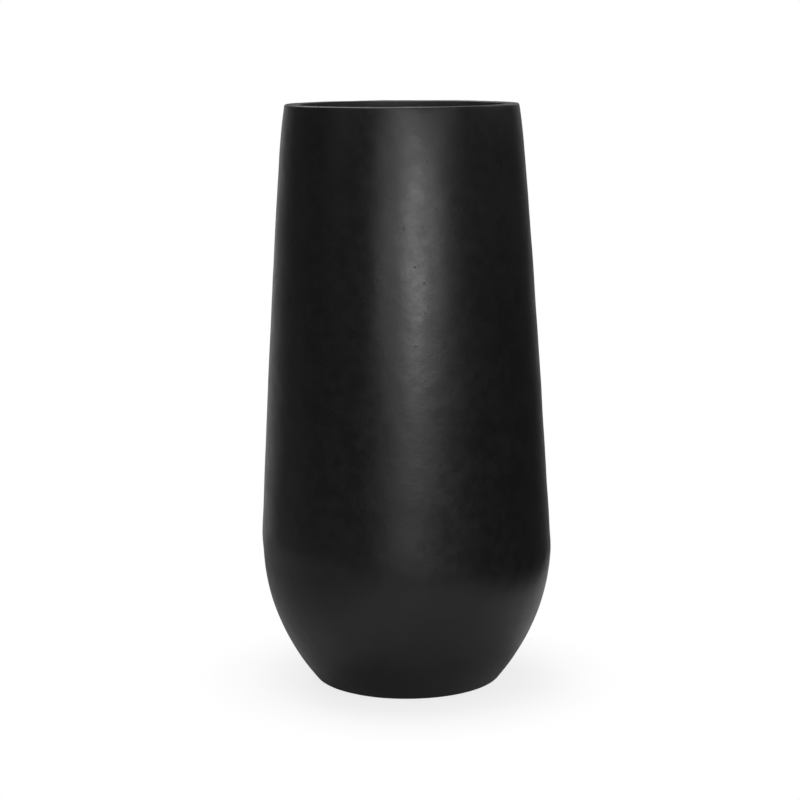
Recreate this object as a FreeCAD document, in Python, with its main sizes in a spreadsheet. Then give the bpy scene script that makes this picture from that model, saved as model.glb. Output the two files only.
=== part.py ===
import FreeCAD, Part
import math
import os

import Sketcher
from FreeCAD import Placement, Rotation, Vector

# A tall fibreglass planter. It is laminated in two mouldings, because its widest point, the belly,
# lies well above the base and neither end could leave a one-piece mould. The tapered upper shell
# and the bowl meet at the belly in a flat butt joint, and a glass-mat band bonded round the inside
# holds them. A rubber plug closes the drain hole from below, and four rubber pads carry the base.
#
# Millimetres and degrees. The floor is z = 0 and every round part turns about the Z axis.
# Each half section is drawn with x as the radius and y as the height above the floor.

SIZES = [
    ("overall_height", 1000.0, "floor to the top of the rim, on the pads"),
    ("belly_diameter", 500.0, "widest diameter, at the joint"),
    ("base_diameter", 310.0, "flat underside, inside its rounded corner"),
    ("bowl_radius", 375.0, "profile radius of the bowl, up past the belly"),
    ("base_corner_radius", 10.0, "profile radius where the bowl meets the underside"),
    ("side_draft", 3.1, "slope of the side, from vertical, where it leaves the bowl's arc"),
    ("side_radius", 30000.0, "profile radius of the slightly bowed side"),
    ("crown_height", 75.0, "height of the stretch under the rim that curls in faster"),
    ("crown_radius", 1000.0, "profile radius of that stretch"),
    ("wall", 6.0, "laminate thickness of both mouldings"),
    ("rim_width", 20.0, "flat top of the rim, from the outer edge to the mouth"),
    ("lip_depth", 35.0, "top of the rim to the bottom of the turned-down lip"),
    ("rim_edge_radius", 2.5, "rounding of the rim's two upper edges"),
    ("lip_chamfer", 1.5, "chamfer on the lip's bottom edge, on the mouth side"),
    ("floor_thickness", 12.0, "solid laminate of the base"),
    ("floor_fillet", 20.0, "inside rounding between the floor and the wall"),
    ("band_height", 100.0, "joint band, half above the joint and half below"),
    ("band_thickness", 3.0, "joint band, away from its feathered edges"),
    ("band_feather", 12.0, "height over which each edge of the band thins out"),
    ("bond_line", 0.3, "resin between the band and the wall"),
    ("drain_diameter", 25.0, "drain hole through the floor"),
    ("drain_recess_diameter", 46.0, "recess round the drain hole, in the underside"),
    ("drain_recess_depth", 5.0, "depth of that recess"),
    ("plug_clearance", 0.05, "between the plug's ribs and the drain hole, all round"),
    ("plug_head_gap", 3.0, "between the plug's head and the recess, all round, for a fingernail"),
    ("plug_head_inset", 1.0, "plug's head, up inside the recess"),
    ("plug_head_chamfer", 1.2, "chamfer on the head's lower edge"),
    ("plug_tip_height", 6.0, "tapered tip above the floor"),
    ("plug_tip_taper", 3.0, "how much the tip loses in radius"),
    ("plug_core_diameter", 14.0, "hollow in the plug, open at the top"),
    ("plug_core_depth", 10.0, "depth of that hollow"),
    ("plug_groove_depth", 0.6, "grooves that leave the sealing ribs between them"),
    ("plug_groove_width", 1.2, "each groove"),
    ("plug_groove_count", 3.0, "grooves along the stretch in the hole"),
    ("pad_height", 4.0, "rubber foot pads, which lift the underside off the floor"),
    ("pad_diameter", 30.0, "foot pads"),
    ("pad_chamfer", 1.0, "chamfer on a pad's lower edge"),
    ("pad_inset", 35.0, "edge of the flat underside to the centre of each pad"),
]
PAD_ANGLES = (45, 135, 225, 315)

document = FreeCAD.newDocument("tall_planter")
sheet = document.addObject("Spreadsheet::Sheet", "sizes")
for row, (alias, value, meaning) in enumerate(SIZES, start=1):
    sheet.set(f"A{row}", alias)
    sheet.set(f"B{row}", str(value))
    sheet.set(f"C{row}", meaning)
    sheet.setAlias(f"B{row}", alias)
document.recompute()


def size(alias):
    """The number in a cell of the sheet."""
    return float(sheet.get(alias))


def origin_plane(body, role):
    """One of a body's own origin planes."""
    return next(feature for feature in body.Origin.OriginFeatures if feature.Role == role)


def new_body(name):
    """A body whose label names the part."""
    body = document.addObject("PartDesign::Body", name)
    body.Label = name
    return body


def on_circle(centre, radius, angle):
    """The point of a circle at an angle in degrees."""
    turn = math.radians(angle)
    return centre[0] + radius * math.cos(turn), centre[1] + radius * math.sin(turn)


class Section:
    """A closed half section in a body's XZ plane, each of its sizes bound to the sheet."""

    START = 1
    END = 2
    CENTRE = 3

    def __init__(self, body, name):
        self.sketch = body.newObject("Sketcher::SketchObject", name)
        self.sketch.AttachmentSupport = [(origin_plane(body, "XZ_Plane"), "")]
        self.sketch.MapMode = "FlatFace"
        document.recompute()

    def line(self, start, end):
        return self.sketch.addGeometry(Part.LineSegment(Vector(*start, 0), Vector(*end, 0)), False)

    def arc(self, centre, radius, low, high):
        """An arc that runs anticlockwise from one angle to another."""
        circle = Part.Circle(Vector(*centre, 0), Vector(0, 0, 1), radius)
        piece = Part.ArcOfCircle(circle, math.radians(low), math.radians(high))
        return self.sketch.addGeometry(piece, False)

    def chain(self, points):
        """Straight edges through the points, each joined to the next."""
        edges = [self.line(start, end) for start, end in zip(points, points[1:])]
        for first, second in zip(edges, edges[1:]):
            self.meet((first, self.END), (second, self.START))
        return edges

    def add(self, kind, *where):
        return self.sketch.addConstraint(Sketcher.Constraint(kind, *where))

    def bind(self, index, expression):
        self.sketch.setExpression(f"Constraints[{index}]", expression)

    def meet(self, first, second):
        self.add("Coincident", *first, *second)

    def flow(self, first, second):
        """Join two ends so that one edge runs smoothly into the other."""
        self.add("Tangent", *first, *second)

    def level(self, first, second):
        self.add("Horizontal", *first, *second)

    def flat(self, *edges):
        for edge in edges:
            self.add("Horizontal", edge)

    def upright(self, *edges):
        for edge in edges:
            self.add("Vertical", edge)

    def on_axis(self, end):
        self.add("PointOnObject", *end, -2)

    def radius(self, arc, expression):
        self.bind(self.add("Radius", arc, self.sketch.Geometry[arc].Radius), expression)

    def out(self, end, expression):
        """Distance of a point from the axis."""
        self.bind(self.add("DistanceX", -1, 1, *end, self.sketch.getPoint(*end).x), expression)

    def up(self, end, expression):
        """Height of a point above the floor."""
        self.bind(self.add("DistanceY", -1, 1, *end, self.sketch.getPoint(*end).y), expression)

    def outward(self, first, second, expression):
        """Radial distance from one point out to another."""
        gap = self.sketch.getPoint(*second).x - self.sketch.getPoint(*first).x
        self.bind(self.add("DistanceX", *first, *second, gap), expression)

    def report(self, name, first, second):
        """A measured height that other parts read: it drives nothing here."""
        rise = self.sketch.getPoint(*second).y - self.sketch.getPoint(*first).y
        index = self.add("DistanceY", *first, *second, rise)
        self.sketch.setDriving(index, False)
        self.sketch.renameConstraint(index, name)


def revolve(body, sketch):
    """Turn a half section once round the Z axis."""
    solid = body.newObject("PartDesign::Revolution", sketch.Name + "_turned")
    solid.Profile = sketch
    solid.ReferenceAxis = (sketch, ["V_Axis"])
    solid.Angle = 360
    document.recompute()
    return solid


def break_edges(body, base, kind, name, rings, alias):
    """Fillet or chamfer the ring-shaped edges that lie at the given radii and heights."""
    found = []
    for number, edge in enumerate(base.Shape.Edges, start=1):
        box = edge.BoundBox
        if box.ZLength > 0.01 or not edge.isClosed():
            continue
        if any(abs(box.XMax - radius) < 0.01 and abs(box.ZMax - height) < 0.01 for radius, height in rings):
            found.append(f"Edge{number}")
    if len(found) != len(rings):
        raise ValueError(f"{name}: {len(found)} edges found for {len(rings)} rings")
    broken = body.newObject(f"PartDesign::{kind}", name)
    broken.Base = (base, found)
    broken.setExpression({"Fillet": "Radius", "Chamfer": "Size"}[kind], f"sizes.{alias}")
    document.recompute()
    return broken


# Lower bowl: flat underside, rounded corner, one large arc up to the belly, an even wall inside.

start, end, centre = Section.START, Section.END, Section.CENTRE

belly = size("belly_diameter") / 2
base = size("base_diameter") / 2
underside = size("pad_height")
bowl_radius = size("bowl_radius")
corner_radius = size("base_corner_radius")
wall = size("wall")
floor_top = underside + size("floor_thickness")
fillet_radius = size("floor_fillet")

axis_offset = belly - bowl_radius
corner_rise = math.sqrt((bowl_radius - corner_radius) ** 2 - (base - axis_offset) ** 2)
belly_height = underside + corner_radius + corner_rise
bowl_centre = (axis_offset, belly_height)
corner_angle = math.degrees(math.atan2(-corner_rise, base - axis_offset))
fillet_drop = belly_height - floor_top - fillet_radius
fillet_out = math.sqrt((bowl_radius - wall - fillet_radius) ** 2 - fillet_drop ** 2)
fillet_centre = (axis_offset + fillet_out, floor_top + fillet_radius)
fillet_angle = math.degrees(math.atan2(-fillet_drop, fillet_out))

lower_bowl = new_body("lower_bowl")
bowl = Section(lower_bowl, "bowl_section")
bottom = bowl.line((0, underside), (base, underside))
corner = bowl.arc((base, underside + corner_radius), corner_radius, -90, corner_angle)
outside = bowl.arc(bowl_centre, bowl_radius, corner_angle, 0)
butt = bowl.line((belly, belly_height), (belly - wall, belly_height))
inside = bowl.arc(bowl_centre, bowl_radius - wall, fillet_angle, 0)
inner_corner = bowl.arc(fillet_centre, fillet_radius, -90, fillet_angle)
inner_floor = bowl.line((fillet_centre[0], floor_top), (0, floor_top))
axis = bowl.line((0, floor_top), (0, underside))

bowl.flow((bottom, end), (corner, start))
bowl.flow((corner, end), (outside, start))
bowl.meet((outside, end), (butt, start))
bowl.meet((butt, end), (inside, end))
bowl.flow((inside, start), (inner_corner, end))
bowl.flow((inner_corner, start), (inner_floor, start))
bowl.meet((inner_floor, end), (axis, start))
bowl.meet((axis, end), (bottom, start))
bowl.flat(bottom, butt, inner_floor)
bowl.meet((outside, centre), (inside, centre))
bowl.level((outside, centre), (outside, end))
bowl.on_axis((bottom, start))
bowl.on_axis((inner_floor, end))
bowl.up((bottom, start), "sizes.pad_height")
bowl.up((inner_floor, end), "sizes.pad_height + sizes.floor_thickness")
bowl.out((bottom, end), "sizes.base_diameter / 2")
bowl.out((outside, end), "sizes.belly_diameter / 2")
bowl.radius(corner, "sizes.base_corner_radius")
bowl.radius(outside, "sizes.bowl_radius")
bowl.radius(inside, "sizes.bowl_radius - sizes.wall")
bowl.radius(inner_corner, "sizes.floor_fillet")
bowl.report("belly_rise", (bottom, start), (outside, end))
bowl_solid = revolve(lower_bowl, bowl.sketch)

# The belly's height follows from the bowl's arcs, and everything above the bowl reads it there.
BELLY = "(sizes.pad_height + bowl_section.Constraints.belly_rise / 1 mm)"

# The drain hole, with the recess for the plug's head, is drilled from below.
drain_circle = lower_bowl.newObject("Sketcher::SketchObject", "drain_circle")
drain_circle.AttachmentSupport = [(origin_plane(lower_bowl, "XY_Plane"), "")]
drain_circle.MapMode = "FlatFace"
drain_circle.setExpression("AttachmentOffset.Base.z", "sizes.pad_height")
circle = Part.Circle(Vector(0, 0, 0), Vector(0, 0, 1), size("drain_diameter") / 2)
drain_circle.addGeometry(circle, False)
drain_circle.addConstraint(Sketcher.Constraint("Coincident", 0, 3, -1, 1))
drain_circle.addConstraint(Sketcher.Constraint("Diameter", 0, size("drain_diameter")))
drain_circle.setExpression("Constraints[1]", "sizes.drain_diameter")
document.recompute()
drain = lower_bowl.newObject("PartDesign::Hole", "drain")
drain.Profile = drain_circle
document.recompute()
drain.ThreadType = "None"
drain.DepthType = "ThroughAll"
drain.DrillPoint = "Flat"
drain.HoleCutType = "Counterbore"
drain.HoleCutCustomValues = True
drain.Reversed = True
drain.setExpression("Diameter", "sizes.drain_diameter")
drain.setExpression("HoleCutDiameter", "sizes.drain_recess_diameter")
drain.setExpression("HoleCutDepth", "sizes.drain_recess_depth")
document.recompute()
hole_length = size("floor_thickness") - size("drain_recess_depth")
drilled = math.pi / 4 * (size("drain_diameter") ** 2 * hole_length
                         + size("drain_recess_diameter") ** 2 * size("drain_recess_depth"))
removed = bowl_solid.Shape.Volume - drain.Shape.Volume
if abs(removed - drilled) > 1:
    raise ValueError(f"the drain removed {removed:.0f} mm3, not {drilled:.0f}")

# Upper shell: the bowl's arc carried past the belly, the bowed side, the crown that curls in to the
# rim, and an even wall inside. The rim is flat, turns in to the mouth and then down as a lip.

top = size("overall_height")
draft = size("side_draft")
side_radius = size("side_radius")
crown_radius = size("crown_radius")
crown_foot = top - size("crown_height")
side_drop = (bowl_radius - side_radius) * math.sin(math.radians(draft))
side_centre = (axis_offset + (bowl_radius - side_radius) * math.cos(math.radians(draft)),
               belly_height + side_drop)
side_angle = math.degrees(math.asin((crown_foot - side_centre[1]) / side_radius))
crown_start = on_circle(side_centre, side_radius, side_angle)
crown_centre = on_circle(crown_start, -crown_radius, side_angle)
rim_angle = math.degrees(math.asin((top - crown_centre[1]) / crown_radius))
under_angle = math.degrees(math.asin((top - wall - crown_centre[1]) / (crown_radius - wall)))
rim = on_circle(crown_centre, crown_radius, rim_angle)
under_rim = on_circle(crown_centre, crown_radius - wall, under_angle)
mouth = rim[0] - size("rim_width")
lip_bottom = top - size("lip_depth")

SHELL_TURN = f"{BELLY} + sizes.bowl_radius * sin(sizes.side_draft)"
CROWN_FOOT = "(sizes.overall_height - sizes.crown_height)"
SIDE_LEVEL = f"({BELLY} + (sizes.bowl_radius - sizes.side_radius) * sin(sizes.side_draft))"

upper_shell = new_body("upper_shell")
shell = Section(upper_shell, "shell_section")
turn = shell.arc(bowl_centre, bowl_radius, 0, draft)
side = shell.arc(side_centre, side_radius, draft, side_angle)
crown = shell.arc(crown_centre, crown_radius, side_angle, rim_angle)
rim_top, mouth_face, lip_foot, lip_back, rim_under = shell.chain(
    [rim, (mouth, top), (mouth, lip_bottom), (mouth + wall, lip_bottom), (mouth + wall, top - wall),
     under_rim])
inner_crown = shell.arc(crown_centre, crown_radius - wall, side_angle, under_angle)
inner_side = shell.arc(side_centre, side_radius - wall, draft, side_angle)
inner_turn = shell.arc(bowl_centre, bowl_radius - wall, 0, draft)
seat = shell.line((belly - wall, belly_height), (belly, belly_height))

shell.flow((turn, end), (side, start))
shell.flow((side, end), (crown, start))
shell.meet((crown, end), (rim_top, start))
shell.meet((rim_under, end), (inner_crown, end))
shell.meet((inner_crown, start), (inner_side, end))
shell.meet((inner_side, start), (inner_turn, end))
shell.meet((inner_turn, start), (seat, start))
shell.meet((seat, end), (turn, start))
shell.flat(rim_top, lip_foot, rim_under, seat)
shell.upright(mouth_face, lip_back)
shell.meet((turn, centre), (inner_turn, centre))
shell.meet((side, centre), (inner_side, centre))
shell.meet((crown, centre), (inner_crown, centre))
shell.level((turn, centre), (turn, start))
shell.radius(turn, "sizes.bowl_radius")
shell.radius(side, "sizes.side_radius")
shell.radius(crown, "sizes.crown_radius")
shell.radius(inner_turn, "sizes.bowl_radius - sizes.wall")
shell.out((turn, start), "sizes.belly_diameter / 2")
shell.up((turn, start), BELLY)
shell.up((turn, end), SHELL_TURN)
shell.up((side, end), CROWN_FOOT)
shell.up((crown, end), "sizes.overall_height")
shell.up((inner_turn, end), f"{SHELL_TURN} - sizes.wall * sin(sizes.side_draft)")
shell.up((inner_side, end),
         f"{CROWN_FOOT} - sizes.wall * ({CROWN_FOOT} - {SIDE_LEVEL}) / sizes.side_radius")
shell.up((rim_under, end), "sizes.overall_height - sizes.wall")
shell.up((lip_foot, start), "sizes.overall_height - sizes.lip_depth")
shell.outward((rim_top, end), (rim_top, start), "sizes.rim_width")
shell.outward((lip_foot, start), (lip_foot, end), "sizes.wall")
shell_solid = revolve(upper_shell, shell.sketch)
shell_solid = break_edges(upper_shell, shell_solid, "Fillet", "rim_edges", [(rim[0], top), (mouth, top)],
                          "rim_edge_radius")
break_edges(upper_shell, shell_solid, "Chamfer", "lip_edge", [(mouth, lip_bottom)], "lip_chamfer")

# Joint band: mat and resin laid over the joint, a bond line off both walls, thin at its edges.

reach = size("band_height") / 2
feather = size("band_feather")
band_outer = bowl_radius - wall - size("bond_line")
band_inner = band_outer - size("band_thickness")
band_side = side_radius - wall - size("bond_line")
BAND_OUTER = "(sizes.bowl_radius - sizes.wall - sizes.bond_line)"


def rise_angle(circle_centre, radius, height):
    """The angle at which a circle reaches a height, in degrees."""
    return math.degrees(math.asin((height - circle_centre[1]) / radius))


joint_band = new_body("joint_band")
band = Section(joint_band, "band_section")
low, high = belly_height - reach, belly_height + reach
low_angle = rise_angle(bowl_centre, band_outer, low)
thin_low_angle = rise_angle(bowl_centre, band_inner, low + feather)
high_angle = rise_angle(side_centre, band_side, high)
thin_high_angle = rise_angle(side_centre, band_side - size("band_thickness"), high - feather)
band_turn = band.arc(bowl_centre, band_outer, low_angle, draft)
band_wall = band.arc(side_centre, band_side, draft, high_angle)
inner_band_wall = band.arc(side_centre, band_side - size("band_thickness"), draft, thin_high_angle)
inner_band_turn = band.arc(bowl_centre, band_inner, thin_low_angle, draft)
high_edge = band.line(on_circle(side_centre, band_side, high_angle),
                      on_circle(side_centre, band_side - size("band_thickness"), thin_high_angle))
low_edge = band.line(on_circle(bowl_centre, band_inner, thin_low_angle),
                     on_circle(bowl_centre, band_outer, low_angle))

band.flow((band_turn, end), (band_wall, start))
band.meet((band_wall, end), (high_edge, start))
band.meet((high_edge, end), (inner_band_wall, end))
band.meet((inner_band_wall, start), (inner_band_turn, end))
band.meet((inner_band_turn, start), (low_edge, start))
band.meet((low_edge, end), (band_turn, start))
band.meet((band_turn, centre), (inner_band_turn, centre))
band.meet((band_wall, centre), (inner_band_wall, centre))
band.out((band_turn, centre), "sizes.belly_diameter / 2 - sizes.bowl_radius")
band.up((band_turn, centre), BELLY)
band.radius(band_turn, BAND_OUTER)
band.radius(band_wall, "sizes.side_radius - sizes.wall - sizes.bond_line")
band.radius(inner_band_turn, f"{BAND_OUTER} - sizes.band_thickness")
band.up((band_turn, start), f"{BELLY} - sizes.band_height / 2")
band.up((band_turn, end), f"{BELLY} + {BAND_OUTER} * sin(sizes.side_draft)")
band.up((band_wall, end), f"{BELLY} + sizes.band_height / 2")
band.up((inner_band_turn, start), f"{BELLY} - sizes.band_height / 2 + sizes.band_feather")
band.up((inner_band_turn, end),
        f"{BELLY} + ({BAND_OUTER} - sizes.band_thickness) * sin(sizes.side_draft)")
band.up((inner_band_wall, end), f"{BELLY} + sizes.band_height / 2 - sizes.band_feather")
revolve(joint_band, band.sketch)

# Drain plug: a head that seats on the recess, a ribbed shank in the hole and a tapered hollow tip.

plug_seat = underside + size("drain_recess_depth")
plug_tip = floor_top + size("plug_tip_height")
shank = size("drain_diameter") / 2 - size("plug_clearance")
head = size("drain_recess_diameter") / 2 - size("plug_head_gap")
head_bottom = underside + size("plug_head_inset")
core = size("plug_core_diameter") / 2
core_bottom = plug_tip - size("plug_core_depth")
PLUG_TIP = "sizes.pad_height + sizes.floor_thickness + sizes.plug_tip_height"

drain_plug = new_body("drain_plug")
plug = Section(drain_plug, "plug_section")
plug_edges = plug.chain([(0, head_bottom), (head, head_bottom), (head, plug_seat), (shank, plug_seat),
                         (shank, floor_top), (shank - size("plug_tip_taper"), plug_tip),
                         (core, plug_tip), (core, core_bottom), (0, core_bottom), (0, head_bottom)])
under, rim_of_head, shoulder, shank_face, taper, tip, core_face, core_floor, plug_axis = plug_edges
plug.meet((plug_axis, end), (under, start))
plug.flat(under, shoulder, tip, core_floor)
plug.upright(rim_of_head, shank_face, core_face)
plug.on_axis((under, start))
plug.on_axis((core_floor, end))
plug.up((under, start), "sizes.pad_height + sizes.plug_head_inset")
plug.out((under, end), "sizes.drain_recess_diameter / 2 - sizes.plug_head_gap")
plug.up((shoulder, start), "sizes.pad_height + sizes.drain_recess_depth")
plug.out((shank_face, start), "sizes.drain_diameter / 2 - sizes.plug_clearance")
plug.up((shank_face, end), "sizes.pad_height + sizes.floor_thickness")
plug.outward((tip, start), (taper, start), "sizes.plug_tip_taper")
plug.up((tip, start), PLUG_TIP)
plug.out((core_face, start), "sizes.plug_core_diameter / 2")
plug.up((core_floor, start), f"{PLUG_TIP} - sizes.plug_core_depth")
plug_solid = revolve(drain_plug, plug.sketch)
plug_solid = break_edges(drain_plug, plug_solid, "Chamfer", "head_edge", [(head, head_bottom)],
                         "plug_head_chamfer")

# The grooves share out the stretch of shank that lies in the hole.
groove_pitch = hole_length / (size("plug_groove_count") + 1)
groove_low = plug_seat + groove_pitch - size("plug_groove_width") / 2
groove_high = groove_low + size("plug_groove_width")
groove_bottom = shank - size("plug_groove_depth")
groove_outer = shank + size("plug_groove_depth")
PITCH = ("(sizes.floor_thickness - sizes.drain_recess_depth) / (sizes.plug_groove_count + 1)")
groove = Section(drain_plug, "groove_section")
groove_base, groove_roof, groove_open, groove_floor = groove.chain(
    [(groove_bottom, groove_low), (groove_bottom, groove_high), (groove_outer, groove_high),
     (groove_outer, groove_low), (groove_bottom, groove_low)])
groove.meet((groove_floor, end), (groove_base, start))
groove.upright(groove_base, groove_open)
groove.flat(groove_roof, groove_floor)
groove.out((groove_base, start),
           "sizes.drain_diameter / 2 - sizes.plug_clearance - sizes.plug_groove_depth")
groove.out((groove_open, start),
           "sizes.drain_diameter / 2 - sizes.plug_clearance + sizes.plug_groove_depth")
groove.up((groove_base, start), "sizes.pad_height + sizes.drain_recess_depth"
          f" + {PITCH} - sizes.plug_groove_width / 2")
groove.up((groove_roof, start), "sizes.pad_height + sizes.drain_recess_depth"
          f" + {PITCH} + sizes.plug_groove_width / 2")
first_groove = drain_plug.newObject("PartDesign::Groove", "first_groove")
first_groove.Profile = groove.sketch
first_groove.ReferenceAxis = (groove.sketch, ["V_Axis"])
first_groove.Angle = 360
document.recompute()
grooves = drain_plug.newObject("PartDesign::LinearPattern", "grooves")
grooves.Originals = [first_groove]
grooves.Direction = (groove.sketch, ["V_Axis"])
grooves.Mode = "Spacing"
grooves.setExpression("Occurrences", "sizes.plug_groove_count")
grooves.setExpression("Offset", PITCH)
drain_plug.Tip = grooves
document.recompute()
one_groove = math.pi * (shank ** 2 - groove_bottom ** 2) * size("plug_groove_width")
removed = plug_solid.Shape.Volume - drain_plug.Shape.Volume
if abs(removed - one_groove * size("plug_groove_count")) > 1:
    raise ValueError(f"the grooves removed {removed:.1f} mm3")

# Foot pads: four rubber discs bonded to the flat underside.


def foot_pad(number, angle):
    """One pad, modelled on the axis and placed under the base at its angle."""
    body = new_body(f"foot_pad_{number}")
    disc = body.newObject("Sketcher::SketchObject", f"pad_circle_{number}")
    disc.AttachmentSupport = [(origin_plane(body, "XY_Plane"), "")]
    disc.MapMode = "FlatFace"
    disc.addGeometry(Part.Circle(Vector(0, 0, 0), Vector(0, 0, 1), size("pad_diameter") / 2), False)
    disc.addConstraint(Sketcher.Constraint("Coincident", 0, 3, -1, 1))
    disc.addConstraint(Sketcher.Constraint("Diameter", 0, size("pad_diameter")))
    disc.setExpression("Constraints[1]", "sizes.pad_diameter")
    pad = body.newObject("PartDesign::Pad", f"pad_{number}")
    pad.Profile = disc
    pad.setExpression("Length", "sizes.pad_height")
    document.recompute()
    break_edges(body, pad, "Chamfer", f"pad_edge_{number}", [(size("pad_diameter") / 2, 0)], "pad_chamfer")
    out = "(sizes.base_diameter / 2 - sizes.pad_inset)"
    body.Placement = Placement(Vector(0, 0, 0), Rotation())
    body.setExpression("Placement.Base.x", f"{out} * cos({angle})")
    body.setExpression("Placement.Base.y", f"{out} * sin({angle})")
    document.recompute()
    return body


foot_pads = [foot_pad(number, angle) for number, angle in enumerate(PAD_ANGLES, start=1)]

# Every object is checked before anything is written.

parts = [upper_shell, lower_bowl, joint_band, drain_plug] + foot_pads
document.recompute()
for item in document.Objects:
    if "Invalid" in item.State or "Error" in item.State:
        raise ValueError(f"{item.Name} failed: {item.State}")
    if item.TypeId == "Sketcher::SketchObject" and not item.FullyConstrained:
        raise ValueError(f"{item.Name} is not fully constrained")
for part in parts:
    shape = part.Shape
    if shape.isNull() or not shape.isValid() or len(shape.Solids) != 1:
        raise ValueError(f"{part.Label} is not one valid solid")

os.makedirs("parts", exist_ok=True)
for part in parts:
    part.Shape.exportStep(f"parts/{part.Label}.step")
    box = part.Shape.BoundBox
    print(f"{part.Label:12s} {part.Shape.Volume / 1000:9.2f} cm3"
          f"  x {box.XMin:7.1f}..{box.XMax:6.1f}  z {box.ZMin:6.1f}..{box.ZMax:6.1f}")
print(f"belly height {belly_height:.2f}  rim radius {rim[0]:.2f}  mouth radius {mouth:.2f}")
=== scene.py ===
import math

import bpy
import numpy as np
from mathutils import Matrix, Vector


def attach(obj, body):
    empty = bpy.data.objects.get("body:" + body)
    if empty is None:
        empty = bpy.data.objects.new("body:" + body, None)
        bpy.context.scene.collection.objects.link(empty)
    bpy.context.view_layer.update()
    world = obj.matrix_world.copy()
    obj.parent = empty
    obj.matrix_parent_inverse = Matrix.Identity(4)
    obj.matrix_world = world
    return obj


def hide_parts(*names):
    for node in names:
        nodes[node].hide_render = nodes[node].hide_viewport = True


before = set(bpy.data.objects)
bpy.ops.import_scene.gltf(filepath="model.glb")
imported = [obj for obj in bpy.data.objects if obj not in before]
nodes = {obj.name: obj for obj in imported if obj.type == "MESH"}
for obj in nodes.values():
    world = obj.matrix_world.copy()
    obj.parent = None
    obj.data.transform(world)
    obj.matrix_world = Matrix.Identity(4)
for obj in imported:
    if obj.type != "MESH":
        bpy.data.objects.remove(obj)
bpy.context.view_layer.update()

MM = 0.001
UP = math.pi / 2

# Sizes in millimetres, the same as the construction's. R is a distance from the axis and Z
# a height above the floor. A circle of the outline is its centre and its radius.
BOWL = ((-125.0, 248.147), 375.0)
SIDE = ((-29706.6, -1353.94), 30000.0)
CROWN = ((-790.444, 849.035), 1000.0)
CORNER = ((155.0, 14.0), 10.0)
FLOOR_FILLET = ((152.09, 36.0), 20.0)
SIDE_START = math.radians(3.1)
CROWN_START = math.radians(4.357)
JOINT_R = 250.0
JOINT_Z = 248.147
RIM_Z = 1000.0
RIM_WIDTH = 20.0
RIM_ROUND = 2.5
LIP_Z = 965.0
LIP_BEVEL = 1.5
WALL = 6.0
UNDER_Z = 4.0
FLOOR_Z = 16.0
DRAIN_R = 12.5
RECESS_R = 23.0
RECESS_Z = 9.0
BAND_Z = (198.2, 298.1)
BAND_THICK = 3.0
BAND_FEATHER = 12.0

# A ring of faces is this high on the outside, in mm, and has this many faces round it.
RING = 4.8
TURNS = 384
TURN = np.arange(TURNS) * 2 * math.pi / TURNS

# Laid up by hand, so not quite true: the bowl was joined 2 mm out of line with the upper
# moulding, which leans a little, and the wall swells past its outline here and there.
BOWL_OUT = 2.1             # mm to the right
LEAN = -0.0045             # mm to the right for each mm up
FAIRED_Z = (225.0, 270.0)  # the heights between which the step was rubbed down
CENTRED_R = (45.0, 120.0)  # the drain stays on the axis, and the wall is all out of line
SWELL = ((0, -0.3), (60, -0.1), (120, 0.4), (190, 1.2), (250, 0.8), (330, 0.8), (450, 0.7),
         (600, 0.7), (700, 1.0), (780, 1.0), (860, 0.7), (950, 0.3), (1000, 0.2))
SWELL_SMOOTHING = 35.0


# ---------------------------------------------------------------- outlines

class Outline:
    """A closed outline in radius and height, run by run. A run leaves out its last point,
    where the next run starts. Each row holds a point, the way it may be pushed, by which
    ripple and by how much of it, and the material of the ring of faces that follows."""

    def __init__(self):
        self.rows = []

    def arc(self, circle, start, end, skin, ripple, step=RING, push=1.0, inside=False):
        """Part of a circle, or of the same circle a wall's thickness further in."""
        (cr, cz), radius = circle
        side = 1.0
        if inside:
            radius -= WALL
            side = -1.0
        count = max(2, int(abs(end - start) * radius / step + 0.5))
        for k in range(count):
            a = start + (end - start) * k / count
            self.rows.append((cr + radius * math.cos(a), cz + radius * math.sin(a),
                              side * math.cos(a), side * math.sin(a), ripple, push, skin))

    def line(self, start, end, skin, step, ripple=None, push=0.0, normal=(0.0, 0.0)):
        count = max(1, int(math.dist(start, end) / step + 0.5))
        for k in range(count):
            t = k / count
            self.rows.append((start[0] + (end[0] - start[0]) * t,
                              start[1] + (end[1] - start[1]) * t, *normal, ripple, push, skin))


def at_height(circle, inset, z):
    """The angle and the radius at which a circle, drawn in by inset, passes a height."""
    (cr, cz), radius = circle
    angle = math.asin((z - cz) / (radius - inset))
    return angle, cr + (radius - inset) * math.cos(angle)


# ---------------------------------------------------------------- ripples

class Ripple:
    """Seeded uneven height over the turn and the height of a round wall, in mm. Each band
    is its longest and shortest wave, its height and its number of waves."""

    REACH = 230.0    # the radius at which the waves have these lengths

    def __init__(self, seed, bands):
        draw = np.random.RandomState(seed)
        parts = []
        for longest, shortest, height, count in bands:
            length = np.exp(draw.uniform(math.log(shortest), math.log(longest), count))
            heading = draw.uniform(0.0, math.pi, count)
            phase = draw.uniform(0.0, 2 * math.pi, count)
            turns = np.round(np.cos(heading) * 2 * math.pi / length * self.REACH)
            rise = np.sin(heading) * 2 * math.pi / length
            size = np.full(count, height * math.sqrt(2.0 / count))
            parts.append((turns, rise, phase, size))
        self.waves = [np.concatenate(part) for part in zip(*parts)]

    def __call__(self, turn, along):
        total = np.zeros(np.broadcast(turn, along).shape)
        for turns, rise, phase, size in zip(*self.waves):
            total += size * np.cos(turns * turn + rise * along + phase)
        return total


RIPPLES = {
    "gel": Ripple(31, [(260.0, 90.0, 0.17, 26), (75.0, 30.0, 0.045, 50)]),
    "raw": Ripple(23, [(160.0, 60.0, 0.35, 30), (60.0, 30.0, 0.16, 40)]),
}


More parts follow.
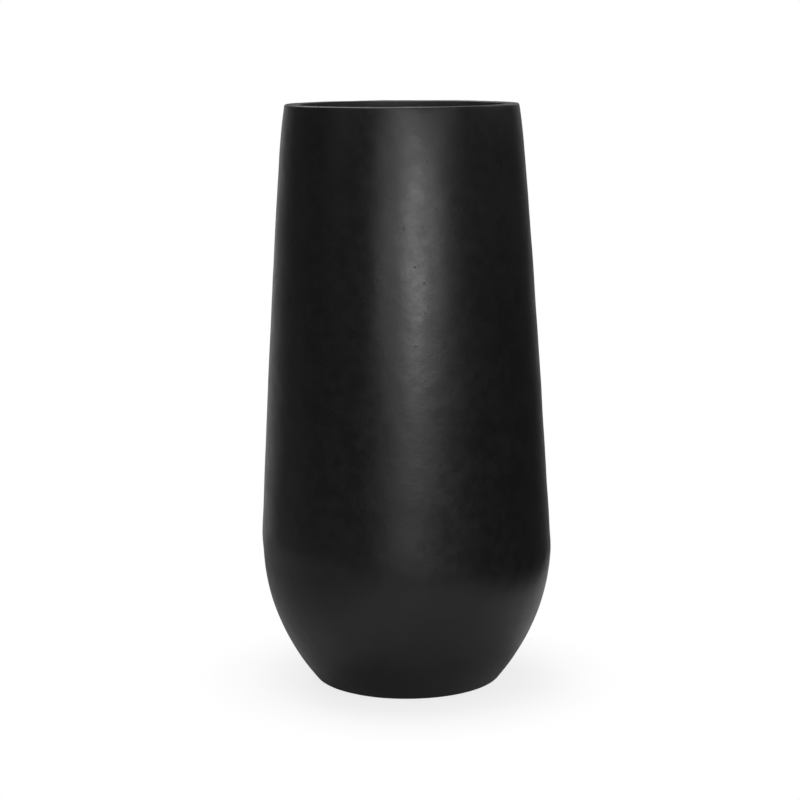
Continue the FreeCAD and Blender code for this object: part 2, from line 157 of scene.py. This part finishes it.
def out_of_line(r, z):
    """How far the wall stands to the right of the true axis, in mm."""
    low, high = FAIRED_Z
    near, far = CENTRED_R
    t = np.clip((high - z) / (high - low), 0.0, 1.0)
    off_centre = np.clip((r - near) / (far - near), 0.0, 1.0)
    return BOWL_OUT * t * t * (3 - 2 * t) * off_centre + LEAN * np.clip(z - high, 0.0, None)


def swell(z):
    """A smooth curve through SWELL."""
    knots, heights = zip(*SWELL)
    around = np.linspace(-SWELL_SMOOTHING, SWELL_SMOOTHING, 8)
    return np.mean([np.interp(z + d, knots, heights) for d in around], axis=0)


# ---------------------------------------------------------------- meshes

def ring_faces(count):
    """The faces of a closed piece whose points lie in this many rings."""
    ring = np.arange(count)[:, None] * TURNS
    a = ring + np.arange(TURNS)
    b = ring + (np.arange(TURNS) + 1) % TURNS
    c = np.roll(b, -1, axis=0)
    d = np.roll(a, -1, axis=0)
    return np.stack([a, b, c, d], axis=2).reshape(-1, 4)


def revolve(name, outline, skins, body, node):
    """A closed piece turned from an outline, pushed by its ripples."""
    r, z, nr, nz, ripples, pushes, skin = map(np.array, zip(*outline.rows))
    push = np.zeros((len(r), TURNS))
    for key, ripple in RIPPLES.items():
        mine = np.where(ripples == key, pushes, 0.0)
        use = np.nonzero(mine)[0]
        if len(use):
            along = z if key == "gel" else z - r
            push[use] = mine[use, None] * ripple(TURN[None, :], along[use, None])
            if key == "gel":
                push[use] += (mine[use] * swell(z[use]))[:, None]
    rr = r[:, None] + nr[:, None] * push
    zz = z[:, None] + nz[:, None] * push
    x = rr * np.cos(TURN) + out_of_line(rr, zz)
    y = rr * np.sin(TURN)
    points = np.stack([x, y, zz], axis=2).reshape(-1, 3) * MM
    faces = ring_faces(len(r))
    area = np.sum(r * np.roll(z, -1) - np.roll(r, -1) * z)
    if area < 0:
        faces = faces[:, ::-1]
    return mesh_piece(name, points, faces, np.repeat(skin, TURNS), skins, body, node)


def mesh_piece(name, points, faces, skin, skins, body, node, sharp=32.0):
    """A smooth-shaded piece of four-sided faces, with edges kept that turn past sharp degrees."""
    mesh = bpy.data.meshes.new(name)
    mesh.vertices.add(len(points))
    mesh.vertices.foreach_set("co", points.astype(np.float32).ravel())
    mesh.loops.add(faces.size)
    mesh.loops.foreach_set("vertex_index", faces.astype(np.int32).ravel())
    mesh.polygons.add(len(faces))
    mesh.polygons.foreach_set("loop_start", np.arange(0, faces.size, 4, dtype=np.int32))
    mesh.polygons.foreach_set("material_index", np.asarray(skin, np.int32))
    mesh.update(calc_edges=True)
    mesh.polygons.foreach_set("use_smooth", np.ones(len(faces), bool))
    mesh.set_sharp_from_angle(angle=math.radians(sharp))
    for material in skins:
        mesh.materials.append(material)
    piece = bpy.data.objects.new(name, mesh)
    bpy.context.scene.collection.objects.link(piece)
    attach(piece, body)
    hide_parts(node)
    return piece


# ---------------------------------------------------------------- node trees

class Nodes:
    """Short names for building a node tree. Texture scales count features in a metre."""

    # Places of the colour sockets of a Mix node.
    MIX_A = 6
    MIX_B = 7
    MIX_RESULT = 2

    def __init__(self, tree):
        self.tree = tree

    def new(self, kind, **settings):
        node = self.tree.nodes.new(kind)
        for key, value in settings.items():
            setattr(node, key, value)
        return node

    def put(self, socket, value):
        """Links a socket to another node's output, or sets its value."""
        if isinstance(value, bpy.types.NodeSocket):
            self.tree.links.new(value, socket)
        else:
            socket.default_value = value

    def where(self):
        return self.new("ShaderNodeTexCoord").outputs["Object"]

    def separate(self, kind, value):
        """The three outputs of a Separate node."""
        node = self.new(kind)
        self.put(node.inputs[0], value)
        return node.outputs

    def maths(self, operation, a, b=None, c=None, clamp=False):
        node = self.new("ShaderNodeMath", operation=operation, use_clamp=clamp)
        for socket, value in zip(node.inputs, (a, b, c)):
            if value is not None:
                self.put(socket, value)
        return node.outputs[0]

    def vector(self, operation, a, b=None, output="Vector"):
        node = self.new("ShaderNodeVectorMath", operation=operation)
        self.put(node.inputs[0], a)
        if b is not None:
            self.put(node.inputs[1], b)
        return node.outputs[output]

    def ramp(self, value, low, high, to_low=0.0, to_high=1.0):
        """A smooth step from one value to another."""
        node = self.new("ShaderNodeMapRange", clamp=True, interpolation_type="SMOOTHSTEP")
        for socket, given in zip(node.inputs, (value, low, high, to_low, to_high)):
            self.put(socket, given)
        return node.outputs[0]

    def noise(self, where, scale, detail=2.0, roughness=0.5):
        node = self.new("ShaderNodeTexNoise")
        self.put(node.inputs["Vector"], where)
        node.inputs["Scale"].default_value = scale
        node.inputs["Detail"].default_value = detail
        node.inputs["Roughness"].default_value = roughness
        return node.outputs["Fac"]

    def cells(self, where, scale, dimensions="3D"):
        node = self.new("ShaderNodeTexVoronoi", voronoi_dimensions=dimensions, feature="F1")
        self.put(node.inputs["Vector"], where)
        node.inputs["Scale"].default_value = scale
        return node.outputs

    def mix_colour(self, factor, a, b):
        node = self.new("ShaderNodeMix", data_type="RGBA")
        self.put(node.inputs["Factor"], factor)
        self.put(node.inputs[self.MIX_A], a)
        self.put(node.inputs[self.MIX_B], b)
        return node.outputs[self.MIX_RESULT]

    def mix_shader(self, factor, a, b):
        node = self.new("ShaderNodeMixShader")
        for socket, value in zip(node.inputs, (factor, a, b)):
            self.put(socket, value)
        return node.outputs[0]

    def bumps(self, *layers):
        """Bumps laid one on another. Each is a height, its size in metres and its strength."""
        normal = None
        for height, distance, strength in layers:
            node = self.new("ShaderNodeBump")
            node.inputs["Strength"].default_value = strength
            node.inputs["Distance"].default_value = distance
            self.put(node.inputs["Height"], height)
            if normal is not None:
                self.put(node.inputs["Normal"], normal)
            normal = node.outputs["Normal"]
        return normal


def grey(value, tint=(1.0, 1.0, 1.0)):
    return tuple(value * t for t in tint) + (1.0,)


def empty_tree(owner):
    """The cleared node tree of a material or a world."""
    owner.use_nodes = True
    owner.node_tree.nodes.clear()
    return Nodes(owner.node_tree)


def new_material(name):
    material = bpy.data.materials.new(name)
    n = empty_tree(material)
    out = n.new("ShaderNodeOutputMaterial")
    shader = n.new("ShaderNodeBsdfPrincipled")
    n.put(out.inputs["Surface"], shader.outputs["BSDF"])
    return material, n, shader, n.where()


# ---------------------------------------------------------------- materials

def gel_coat():
    """Satin black pigmented gel coat, sprayed, rubbed down and waxed."""
    material, n, shader, where = new_material("gel_coat")
    cloud = n.noise(where, 17.0, 3.0)
    mottle = n.noise(where, 55.0)
    wrinkle = n.noise(where, 120.0, 1.5)
    fine = n.noise(where, 260.0)
    peel = n.noise(where, 520.0, 1.0)
    blend = n.maths("MULTIPLY_ADD", mottle, 0.5, n.maths("MULTIPLY", cloud, 0.5))
    colour = n.mix_colour(n.ramp(blend, 0.38, 0.62), grey(0.0048), grey(0.0068))

    # A pinhole in about a third of the cells.
    hole = n.cells(where, 52.0)
    pit = n.ramp(hole["Distance"], 0.05, 0.14, 1.0, 0.0)
    lot = n.separate("ShaderNodeSeparateColor", hole["Color"])[0]
    pit = n.maths("MULTIPLY", pit, n.maths("GREATER_THAN", lot, 0.66))

    # Small marks, gathered in patches. The shift moves the patches to suit the photograph.
    speck = n.ramp(n.cells(where, 130.0)["Distance"], 0.08, 0.22, 1.0, 0.0)
    shifted = n.vector("ADD", where, (0.0, 0.0, -0.19))
    patch = n.ramp(n.noise(shifted, 22.0), 0.44, 0.58, 0.2, 1.0)
    marks = n.maths("MULTIPLY", n.maths("MULTIPLY_ADD", speck, -0.45, wrinkle), patch)

    # Scuffs where the pot is dragged and lifted: low on the bowl and along the rim.
    height = n.separate("ShaderNodeSeparateXYZ", where)["Z"]
    low = n.ramp(height, 0.004, 0.03, 1.0, 0.0)
    high = n.ramp(height, 0.9955, 0.9995, 0.0, 1.0)
    rubbed = n.maths("MULTIPLY", n.maths("MAXIMUM", low, high), n.ramp(fine, 0.45, 0.6))
    colour = n.mix_colour(n.maths("MULTIPLY", rubbed, 0.5), colour, grey(0.02))

    rough = n.maths("MULTIPLY_ADD", mottle, 0.13, 0.209)
    for texture, amount in ((cloud, 0.08), (fine, 0.06), (pit, 0.12)):
        rough = n.maths("MULTIPLY_ADD", texture, amount, rough)
    rough = n.maths("MULTIPLY_ADD", rubbed, 0.1, rough, clamp=True)

    n.put(shader.inputs["Base Color"], colour)
    n.put(shader.inputs["Roughness"], rough)
    shader.inputs["IOR"].default_value = 1.5
    n.put(shader.inputs["Normal"], n.bumps(
        (mottle, 0.00020, 0.9), (fine, 0.00002, 0.9), (peel, 0.000006, 0.8),
        (marks, 0.00014, 0.9), (n.maths("MULTIPLY", pit, -1.0), 0.00009, 1.0)))
    return material


def inside_coat():
    """The lip's inner face: the same gel coat left matt, with brush drag and dust."""
    material, n, shader, where = new_material("inside_coat")
    drag = n.noise(n.vector("MULTIPLY", where, (40.0, 40.0, 420.0)), 1.0, 3.0, 0.6)
    cloud = n.noise(where, 24.0, 3.0, 0.6)
    dust = n.ramp(n.noise(where, 300.0, 3.0, 0.65), 0.5, 0.7)
    colour = n.mix_colour(n.ramp(cloud, 0.35, 0.65), grey(0.024), grey(0.034))
    colour = n.mix_colour(n.maths("MULTIPLY", dust, 0.3), colour, grey(0.06, (1.0, 0.98, 0.94)))
    n.put(shader.inputs["Base Color"], colour)
    n.put(shader.inputs["Roughness"], n.maths("MULTIPLY_ADD", dust, 0.1, 0.48))
    n.put(shader.inputs["Normal"], n.bumps((drag, 0.00012, 0.8), (cloud, 0.0006, 0.8)))
    return material


STRAND_ANGLES = (12.0, 55.0, 98.0, 141.0)
STRAND_SHIFT = 0.013
STRANDS_ALONG = 15.0
STRANDS_ACROSS = 420.0
UNROLL_R = 0.22


def strands(n, where, angle, offset):
    """Chopped glass strands lying one way, as long thin cells."""
    mapping = n.new("ShaderNodeMapping")
    n.put(mapping.inputs["Vector"], where)
    mapping.inputs["Rotation"].default_value = (0.0, 0.0, angle)
    mapping.inputs["Location"].default_value = (offset, offset * 0.7, 0.0)
    squeezed = n.vector("MULTIPLY", mapping.outputs[0], (STRANDS_ALONG, STRANDS_ACROSS, 1.0))
    cell = n.cells(squeezed, 1.0, "2D")
    shape = n.ramp(cell["Distance"], 0.18, 0.42, 1.0, 0.0)
    lot = n.separate("ShaderNodeSeparateColor", cell["Color"])[0]
    return n.maths("MULTIPLY", shape, n.ramp(lot, 0.35, 0.8))


def unrolled(n, where):
    """A round wall laid out flat, as far along as it is round and up."""
    x, y, z = n.separate("ShaderNodeSeparateXYZ", where)
    squares = n.maths("ADD", n.maths("MULTIPLY", x, x), n.maths("MULTIPLY", y, y))
    reach = n.maths("SQRT", squares)
    turn = n.maths("ARCCOSINE", n.maths("DIVIDE", x, reach))
    join = n.new("ShaderNodeCombineXYZ")
    n.put(join.inputs[0], n.maths("MULTIPLY", turn, UNROLL_R))
    n.put(join.inputs[1], n.maths("SUBTRACT", z, reach))
    return join.outputs[0]


def laminate(name, flat, dark, light, gloss, depth):
    """Resin over chopped strand mat, as it sets on the side away from the mould."""
    material, n, shader, where = new_material(name)
    spread = where if flat else unrolled(n, where)
    weave = None
    for k, angle in enumerate(STRAND_ANGLES):
        layer = strands(n, spread, math.radians(angle), STRAND_SHIFT * k)
        weave = layer if weave is None else n.maths("MAXIMUM", weave, layer)
    lumps = n.noise(where, 34.0, 4.0, 0.55)
    wet = n.noise(where, 11.0, 3.0, 0.55)
    shade = n.maths("MULTIPLY", weave, n.ramp(wet, 0.4, 0.62, 0.35, 1.0))
    rough = n.ramp(wet, 0.36, 0.64, gloss - 0.1, gloss + 0.12)
    n.put(shader.inputs["Base Color"],
          n.mix_colour(shade, grey(dark), grey(light, (1.0, 0.99, 0.95))))
    n.put(shader.inputs["Roughness"], n.maths("MULTIPLY_ADD", weave, 0.08, rough))
    shader.inputs["IOR"].default_value = 1.5
    n.put(shader.inputs["Normal"], n.bumps((lumps, 0.0018, 0.8), (weave, depth, 0.9)))
    return material


def rubber():
    """Matt black rubber, with a little dust on it."""
    material, n, shader, where = new_material("moulded_rubber")
    cloud = n.noise(where, 60.0, 3.0)
    grain = n.noise(where, 1400.0)
    dust = n.ramp(n.noise(where, 180.0, 4.0, 0.65), 0.5, 0.72)
    colour = n.mix_colour(cloud, grey(0.010), grey(0.016))
    colour = n.mix_colour(n.maths("MULTIPLY", dust, 0.25), colour, grey(0.05, (1.0, 0.97, 0.92)))
    n.put(shader.inputs["Base Color"], colour)
    n.put(shader.inputs["Roughness"], n.maths("MULTIPLY_ADD", dust, 0.12, 0.62))
    n.put(shader.inputs["Normal"], n.bumps((grain, 0.00006, 0.7)))
    return material


GEL = gel_coat()
INSIDE = inside_coat()
RAW = laminate("raw_laminate", False, 0.024, 0.070, 0.44, 0.00025)
RAW_FLOOR = laminate("raw_laminate_floor", True, 0.024, 0.070, 0.44, 0.00025)
MAT = laminate("joint_mat", False, 0.045, 0.130, 0.50, 0.0004)
RUBBER = rubber()
SHELL_SKINS = [GEL, RAW, RAW_FLOOR, INSIDE]
GEL_SKIN, RAW_SKIN, FLOOR_SKIN, INSIDE_SKIN = range(4)


# ---------------------------------------------------------------- the two mouldings

FLAT_FLOOR_R = 30.0    # mm, the raw floor has no ripple this far round the drain
RIM_PUSH = 0.6         # how much of the ripple the rim and the lip take
CALM = 30.0            # mm from the joint band to where the raw ripple is whole


def upper_outline():
    """Up the outside, over the rim, round the lip, and down the raw inside to the joint."""
    path = Outline()
    round_z = RIM_Z - RIM_ROUND
    under_z = RIM_Z - WALL
    crown_end, round_r = at_height(CROWN, RIM_ROUND, round_z)
    under_end, under_r = at_height(CROWN, WALL, under_z)
    mouth_r = at_height(CROWN, 0.0, RIM_Z)[1] - RIM_WIDTH
    inner_round_r = mouth_r + RIM_ROUND
    lip_r = mouth_r + WALL
    rim = dict(ripple="gel", push=RIM_PUSH)

    path.arc(BOWL, 0.0, SIDE_START, GEL_SKIN, "gel")
    path.arc(SIDE, SIDE_START, CROWN_START, GEL_SKIN, "gel")
    path.arc(CROWN, CROWN_START, crown_end, GEL_SKIN, "gel")
    path.arc(((round_r, round_z), RIM_ROUND), crown_end, UP, GEL_SKIN, step=0.6, **rim)
    path.line((round_r, RIM_Z), (inner_round_r, RIM_Z), GEL_SKIN, 2.5, normal=(0.0, 1.0), **rim)
    path.arc(((inner_round_r, round_z), RIM_ROUND), UP, math.pi, GEL_SKIN, step=0.6, **rim)
    path.line((mouth_r, round_z), (mouth_r, LIP_Z + LIP_BEVEL), INSIDE_SKIN, 4.0,
              normal=(-1.0, 0.0), **rim)
    path.line((mouth_r, LIP_Z + LIP_BEVEL), (mouth_r + LIP_BEVEL, LIP_Z), INSIDE_SKIN, 0.8)
    path.line((mouth_r + LIP_BEVEL, LIP_Z), (lip_r, LIP_Z), INSIDE_SKIN, 1.5)
    path.line((lip_r, LIP_Z), (lip_r, under_z), RAW_SKIN, 5.0)
    path.line((lip_r, under_z), (under_r, under_z), RAW_SKIN, 3.0)
    path.arc(CROWN, under_end, CROWN_START, RAW_SKIN, "raw", 8.0, inside=True)
    path.arc(SIDE, CROWN_START, SIDE_START, RAW_SKIN, "raw", 15.0, inside=True)
    path.arc(BOWL, SIDE_START, 0.0, RAW_SKIN, "raw", 6.0, push=0.0, inside=True)
    path.line((JOINT_R - WALL, JOINT_Z), (JOINT_R, JOINT_Z), RAW_SKIN, 3.0)
    return path


def lower_outline():
    """Across the joint, down the outside, in under the base, up the drain and the inside."""
    path = Outline()
    (bowl_r, bowl_z), _ = BOWL
    (corner_r, corner_z), _ = CORNER
    (fillet_r, fillet_z), _ = FLOOR_FILLET
    bowl_end = math.atan2(corner_z - bowl_z, corner_r - bowl_r)
    fillet_end = math.atan2(fillet_z - bowl_z, fillet_r - bowl_r)

    path.line((JOINT_R - WALL, JOINT_Z), (JOINT_R, JOINT_Z), RAW_SKIN, 3.0)
    path.arc(BOWL, 0.0, bowl_end, GEL_SKIN, "gel")
    path.arc(CORNER, bowl_end, -UP, GEL_SKIN, "gel", 1.4, push=0.4)
    path.line((corner_r, UNDER_Z), (RECESS_R, UNDER_Z), GEL_SKIN, 9.0, "gel", 0.25, (0.0, -1.0))
    path.line((RECESS_R, UNDER_Z), (RECESS_R, RECESS_Z), GEL_SKIN, 2.0)
    path.line((RECESS_R, RECESS_Z), (DRAIN_R, RECESS_Z), GEL_SKIN, 3.0)
    path.line((DRAIN_R, RECESS_Z), (DRAIN_R, FLOOR_Z), RAW_SKIN, 2.0)
    path.line((DRAIN_R, FLOOR_Z), (FLAT_FLOOR_R, FLOOR_Z), FLOOR_SKIN, 5.0)
    path.line((FLAT_FLOOR_R, FLOOR_Z), (fillet_r, FLOOR_Z), FLOOR_SKIN, 6.0, "raw", 0.8, (0.0, 1.0))
    path.arc(FLOOR_FILLET, -UP, fillet_end, RAW_SKIN, "raw", 4.0, push=-0.8)
    path.arc(BOWL, fillet_end, 0.0, RAW_SKIN, "raw", 8.0, push=0.8, inside=True)
    return path


def settle(outline, low, high):
    """Takes the ripple out of the raw side under the joint band, and eases it in beyond."""
    rows = []
    for r, z, nr, nz, ripple, push, skin in outline.rows:
        if ripple == "raw":
            near = min(abs(z - low), abs(z - high))
            push *= 0.0 if low < z < high else min(1.0, near / CALM)
        rows.append((r, z, nr, nz, ripple, push, skin))
    outline.rows = rows
    return outline


revolve("shell_upper", settle(upper_outline(), *BAND_Z), SHELL_SKINS, "planter",
        "upper_shell")
revolve("bowl_lower", settle(lower_outline(), *BAND_Z), SHELL_SKINS, "planter",
        "lower_bowl")


# ---------------------------------------------------------------- joint band

BAND_STEPS = 22        # rings of faces from edge to edge
BAND_GAP = 0.35        # mm off the wall
BAND_INSET = 3.5       # mm from BAND_Z to where the torn edges run on the whole
TORN = (-3.5, 5.0)     # mm, the most that an edge strays out and in from there
EDGE_THICK = 0.25      # mm at the feathered edge
SIDE_FOOT_Z = 268.147  # where the wall passes from the bowl's circle to the side's
LUMP_MARGIN = 20.0     # mm from the edges to where the lumps are whole


def inner_wall(z):
    """The radius of the inside of the mouldings at a height near the joint."""
    (bowl_r, bowl_z), bowl_radius = BOWL
    (side_r, side_z), side_radius = SIDE
    bowl = bowl_r + np.sqrt((bowl_radius - WALL) ** 2 - (z - bowl_z) ** 2)
    side = side_r + np.sqrt((side_radius - WALL) ** 2 - (z - side_z) ** 2)
    return np.where(z < SIDE_FOOT_Z, bowl, side)


def band():
    """Wet-laid mat over the joint: torn feathered edges and lumps, flat against the wall."""
    edge = Ripple(37, [(300.0, 40.0, 1.0, 40)])
    lump = Ripple(53, [(70.0, 34.0, 0.22, 40)])
    low = BAND_Z[0] + BAND_INSET + np.clip(edge(TURN, 0.0) * 2.0, *TORN)
    high = BAND_Z[1] - BAND_INSET - np.clip(edge(TURN, 900.0) * 2.0, *TORN)
    rings = []
    for side in ("back", "face"):
        for k in range(BAND_STEPS + 1):
            t = k / BAND_STEPS if side == "back" else 1.0 - k / BAND_STEPS
            # Closer rings towards the two edges.
            t = 0.35 * t + 0.65 * (0.5 - 0.5 * math.cos(math.pi * t))
            z = low + (high - low) * t
            r = inner_wall(z) - BAND_GAP
            if side == "face":
                near = np.minimum(z - low, high - z)
                full = np.clip(near / BAND_FEATHER, 0.0, 1.0) ** 0.8
                r = r - (EDGE_THICK + (BAND_THICK - EDGE_THICK) * full)
                r = r - np.clip(near / LUMP_MARGIN, 0.0, 1.0) * (lump(TURN, z) - 0.3)
            x = r * np.cos(TURN) + out_of_line(r, z)
            rings.append(np.stack([x, r * np.sin(TURN), z], axis=1))
    points = np.concatenate(rings) * MM
    faces = ring_faces(len(rings))
    mesh_piece("joint_mat_band", points, faces, np.zeros(len(faces)), [MAT], "planter",
               "joint_band", 50.0)


band()


# ---------------------------------------------------------------- rubber pieces

for name in ("drain_plug", "foot_pad_1", "foot_pad_2", "foot_pad_3", "foot_pad_4"):
    node = nodes[name]
    node.data.materials.clear()
    node.data.materials.append(RUBBER)


# ---------------------------------------------------------------- floor

FLOOR = dict(left=-1.35, right=0.60, front=-1.3, back=0.86)   # metres


def floor():
    """A pale table top that keeps the pot's shadow and fades into the white round it."""
    x0, x1, y0, y1 = FLOOR["left"], FLOOR["right"], FLOOR["front"], FLOOR["back"]
    mesh = bpy.data.meshes.new("floor")
    mesh.from_pydata([(x0, y0, 0), (x1, y0, 0), (x1, y1, 0), (x0, y1, 0)], [], [(0, 1, 2, 3)])
    piece = bpy.data.objects.new("floor", mesh)
    bpy.context.scene.collection.objects.link(piece)
    material = bpy.data.materials.new("pale_floor")
    n = empty_tree(material)
    out = n.new("ShaderNodeOutputMaterial")
    where = n.where()
    path = n.new("ShaderNodeLightPath").outputs

    # Painted shade on the floor, seen only in the pot's gloss: it is dimmer on the left and in
    # front.
    across = n.separate("ShaderNodeSeparateXYZ", where)
    glossy_painted_shade = n.maths("MULTIPLY", n.ramp(across["X"], -0.65, 0.15, 0.36, 0.76),
                   n.ramp(across["Y"], FLOOR["front"], -0.55, 0.15, 1.0))
    pale = n.mix_colour(n.noise(where, 3.0), grey(0.80), grey(0.82))
    matt = n.new("ShaderNodeBsdfDiffuse")
    n.put(matt.inputs["Color"], n.mix_colour(path["Is Glossy Ray"], pale, glossy_painted_shade))

    # To the camera it whitens from 150 mm off the axis, and is all white at 400 mm.
    white = n.new("ShaderNodeEmission")
    white.inputs["Strength"].default_value = 1.0
    fade = n.ramp(n.vector("LENGTH", where, output="Value"), 0.15, 0.40, 0.80, 1.0)
    fade = n.maths("MULTIPLY", fade, path["Is Camera Ray"])
    n.put(out.inputs["Surface"], n.mix_shader(fade, matt.outputs[0], white.outputs[0]))
    mesh.materials.append(material)


floor()


# ---------------------------------------------------------------- light

def compass(azimuth, height):
    """A direction. Azimuth runs from the camera's side towards the right, in degrees."""
    a, e = math.radians(azimuth), math.radians(height)
    return math.sin(a) * math.cos(e), -math.cos(a) * math.cos(e), math.sin(e)


# Pale screens and walls of the studio: azimuth and height in degrees, and brightness.
SCREENS = ((0, 18, 3.0), (40, 18, 1.2), (-60, 18, 0.40), (80, 18, 0.24), (160, 18, 1.0),
           (165, -9, 0.34), (0, -18, 1.2), (-100, -18, 0.25), (-140, -18, 0.55), (-160, 0, 0.45),
           (-166, -9, 0.32), (-150, 44, 6.5), (110, 30, 1.4))
SCREEN_FALL = 40.0   # a screen fades from its middle as the cosine to this power


def background(n, strength):
    node = n.new("ShaderNodeBackground")
    node.inputs["Color"].default_value = grey(1.0)
    n.put(node.inputs["Strength"], strength)
    return node.outputs[0]


def studio():
    """White to the camera. To the pot, a dim room with pale screens and a soft top."""
    world = bpy.data.worlds.new("studio")
    bpy.context.scene.world = world
    n = empty_tree(world)
    out = n.new("ShaderNodeOutputWorld")
    way = n.new("ShaderNodeTexCoord").outputs["Generated"]
    height = n.separate("ShaderNodeSeparateXYZ", way)["Z"]
    top = n.ramp(height, 0.45, 0.85, 0.0, 0.14)
    walls = n.ramp(height, -0.05, 0.1, 0.042, 0.084)
    glow = n.maths("ADD", top, walls)
    for azimuth, lift, amount in SCREENS:
        near = n.vector("DOT_PRODUCT", way, compass(azimuth, lift), output="Value")
        near = n.maths("POWER", n.maths("MAXIMUM", near, 0.0), SCREEN_FALL)
        glow = n.maths("MULTIPLY_ADD", near, amount, glow)
    camera_ray = n.new("ShaderNodeLightPath").outputs["Is Camera Ray"]
    n.put(out.inputs["Surface"],
          n.mix_shader(camera_ray, background(n, glow), background(n, 1.0)))


def softbox(name, azimuth, distance, height, width, tall, radiance, aim=0.6):
    """A soft rectangular lamp, turned towards a height on the axis, in metres and degrees."""
    data = bpy.data.lights.new(name, "AREA")
    data.shape = "RECTANGLE"
    data.size, data.size_y = width, tall
    data.energy = radiance * width * tall * math.pi
    lamp = bpy.data.objects.new(name, data)
    a = math.radians(azimuth)
    lamp.location = (distance * math.sin(a), -distance * math.cos(a), height)
    back = lamp.location - Vector((0.0, 0.0, aim))
    lamp.rotation_mode = "QUATERNION"
    lamp.rotation_quaternion = back.to_track_quat("Z", "Y")
    lamp.visible_camera = False
    bpy.context.scene.collection.objects.link(lamp)
    return lamp


studio()
softbox("key", 10.0, 2.25, 0.85, 0.48, 0.34, 13.7)
softbox("right_fill", 25.0, 2.25, 0.95, 0.34, 0.60, 4.2)
softbox("left_fill", -15.0, 2.25, 0.85, 0.34, 0.30, 3.8)
# Straight down, from a little to the left.
overhead = softbox("overhead", 0.0, 0.0, 2.15, 1.0, 1.0, 4.2, aim=0.0)
overhead.location.x = -0.14


# ---------------------------------------------------------------- camera

# Fitted to the photograph: metres, millimetres and degrees.
CAMERA_PLACE = (0.0, -3.6237, 1.1096)
CAMERA_LENS = 95.60
CAMERA_SENSOR = 36.0
CAMERA_PAN = 0.143
CAMERA_TILT = 9.674
CAMERA_ROLL = -0.352


def camera():
    data = bpy.data.cameras.new("camera")
    data.sensor_width = CAMERA_SENSOR
    data.lens = CAMERA_LENS
    view = bpy.data.objects.new("camera", data)
    bpy.context.scene.collection.objects.link(view)
    turn = (Matrix.Rotation(math.radians(CAMERA_PAN), 4, "Z")
            @ Matrix.Rotation(math.radians(90.0 - CAMERA_TILT), 4, "X")
            @ Matrix.Rotation(math.radians(CAMERA_ROLL), 4, "Z"))
    view.matrix_world = Matrix.Translation(CAMERA_PLACE) @ turn
    bpy.context.scene.camera = view


camera()
bpy.context.scene.view_settings.view_transform = "Standard"
